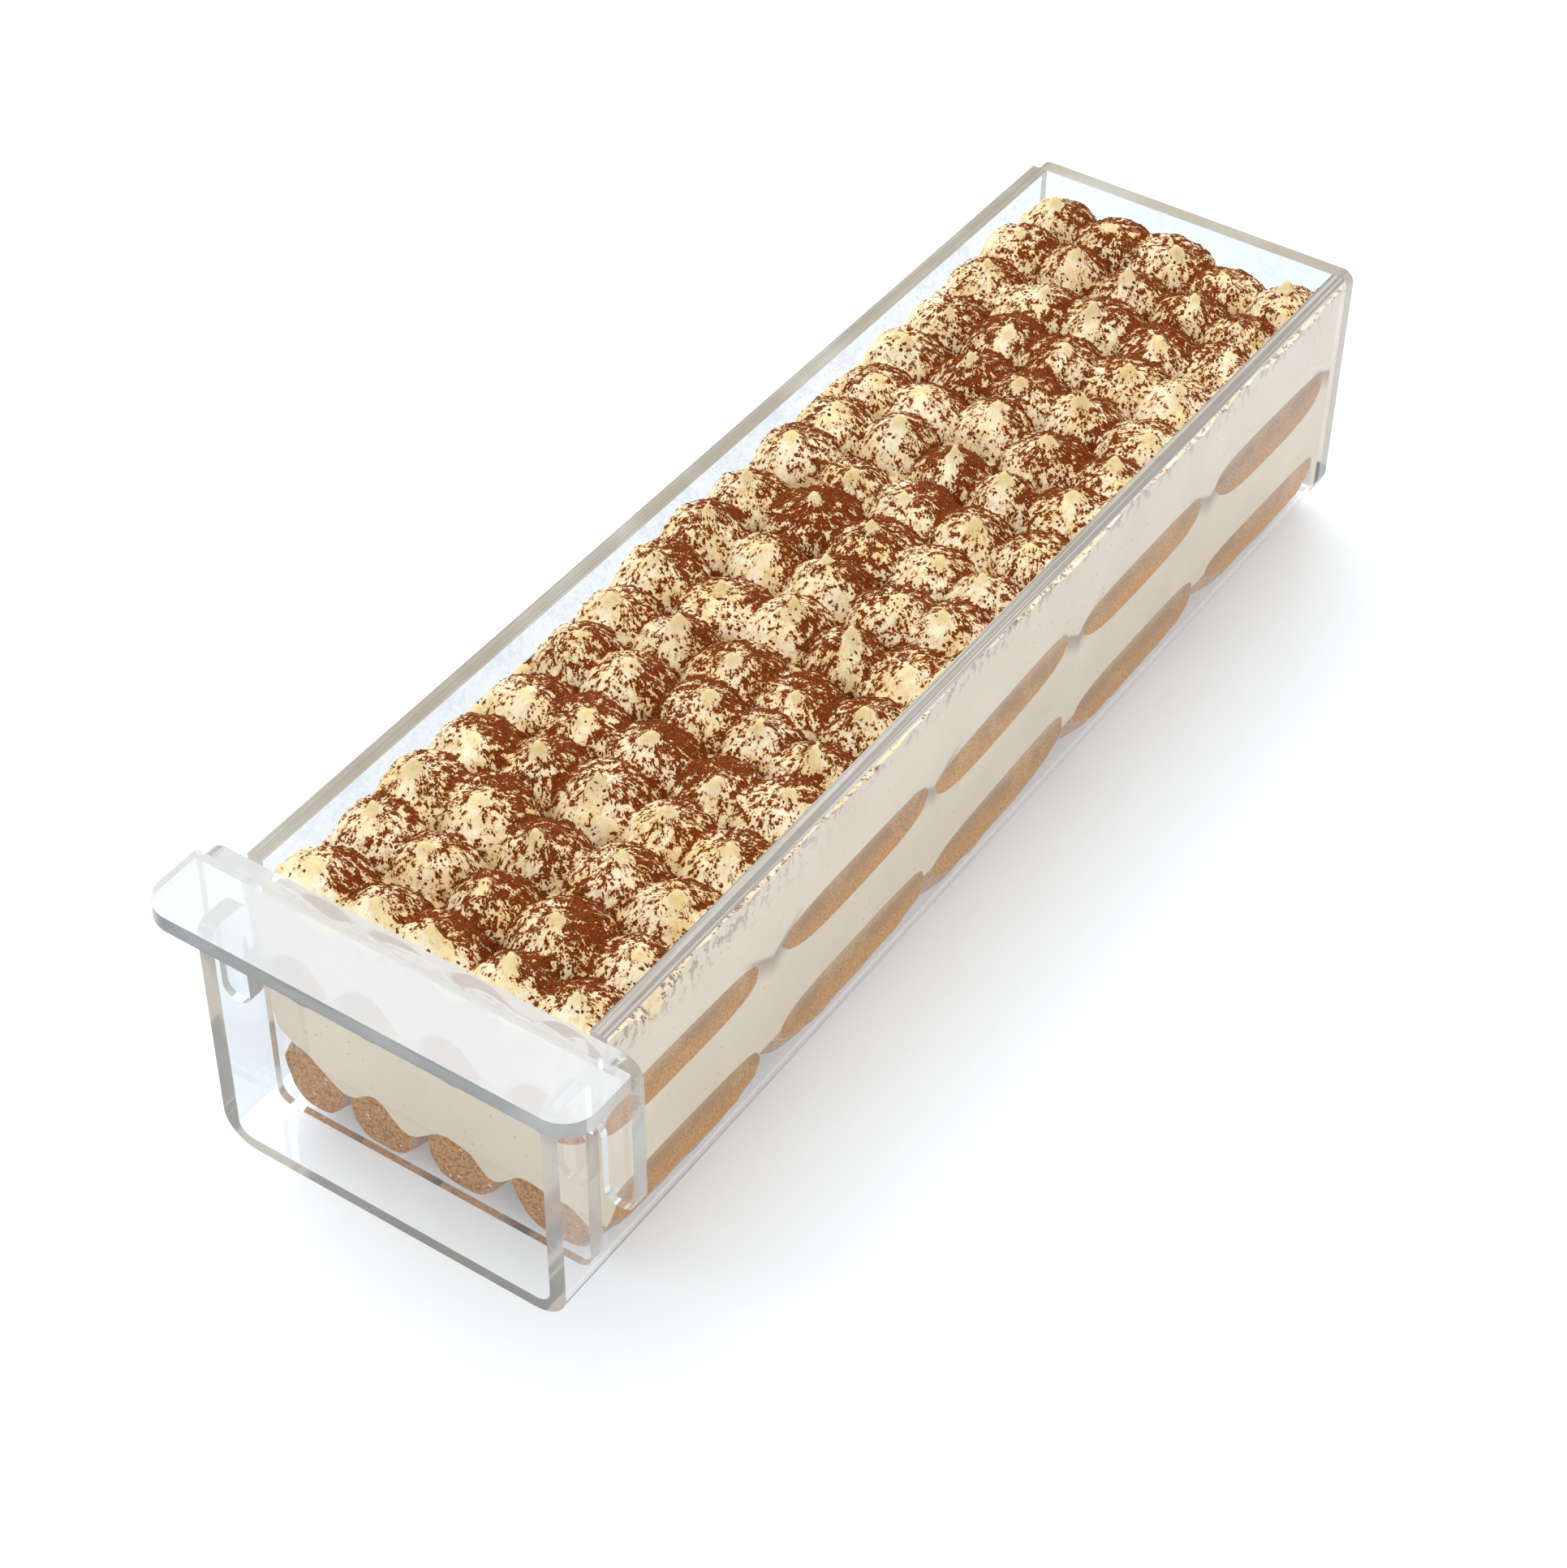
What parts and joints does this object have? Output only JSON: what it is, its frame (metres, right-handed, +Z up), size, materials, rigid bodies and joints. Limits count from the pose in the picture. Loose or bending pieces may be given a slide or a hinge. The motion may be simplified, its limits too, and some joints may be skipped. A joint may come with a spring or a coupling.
{
  "type": "tiramisu in a clear acrylic tray",
  "caption": "Long clear tray of tiramisu: layers of ladyfingers and cream, piped cream dollops dusted with cocoa on top, and a lift-out front gate with a ledge to hold.",
  "frame": {"origin": "under the middle of the whole, on the surface that the tray stands on", "axes": "+Z up, +Y along the tray from the gate at the front to the back plate, +X to the right seen from the gate"},
  "size_m": [0.1328, 0.41, 0.0872],
  "materials": {
    "acrylic": "clear polished acrylic sheet, 5 mm",
    "ladyfinger": "coffee-soaked sponge biscuit, grainy and matte",
    "cream": "whipped mascarpone cream, soft satin",
    "cocoa": "sieved cocoa powder, dull"
  },
  "bodies": {
    "root": {"tray_channel": "acrylic", "back_plate": "acrylic", "gate": "acrylic", "handle_plate": "acrylic", "ladyfinger_low_1_1": "ladyfinger", "ladyfinger_low_1_2": "ladyfinger", "ladyfinger_low_1_3": "ladyfinger", "ladyfinger_low_1_4": "ladyfinger", "ladyfinger_low_2_1": "ladyfinger", "ladyfinger_low_2_2": "ladyfinger", "ladyfinger_low_2_3": "ladyfinger", "ladyfinger_low_2_4": "ladyfinger", "ladyfinger_low_3_1": "ladyfinger", "ladyfinger_low_3_2": "ladyfinger", "ladyfinger_low_3_3": "ladyfinger", "ladyfinger_low_3_4": "ladyfinger", "ladyfinger_low_4_1": "ladyfinger", "ladyfinger_low_4_2": "ladyfinger", "ladyfinger_low_4_3": "ladyfinger", "ladyfinger_low_4_4": "ladyfinger", "ladyfinger_low_5_1": "ladyfinger", "ladyfinger_low_5_2": "ladyfinger", "ladyfinger_low_5_3": "ladyfinger", "ladyfinger_low_5_4": "ladyfinger", "ladyfinger_high_1_1": "ladyfinger", "ladyfinger_high_1_2": "ladyfinger", "ladyfinger_high_1_3": "ladyfinger", "ladyfinger_high_1_4": "ladyfinger", "ladyfinger_high_2_1": "ladyfinger", "ladyfinger_high_2_2": "ladyfinger", "ladyfinger_high_2_3": "ladyfinger", "ladyfinger_high_2_4": "ladyfinger", "ladyfinger_high_3_1": "ladyfinger", "ladyfinger_high_3_2": "ladyfinger", "ladyfinger_high_3_3": "ladyfinger", "ladyfinger_high_3_4": "ladyfinger", "ladyfinger_high_4_1": "ladyfinger", "ladyfinger_high_4_2": "ladyfinger", "ladyfinger_high_4_3": "ladyfinger", "ladyfinger_high_4_4": "ladyfinger", "ladyfinger_high_5_1": "ladyfinger", "ladyfinger_high_5_2": "ladyfinger", "ladyfinger_high_5_3": "ladyfinger", "ladyfinger_high_5_4": "ladyfinger", "cream_middle": "cream", "cream_top": "cream"}
  },
  "joints": []
}
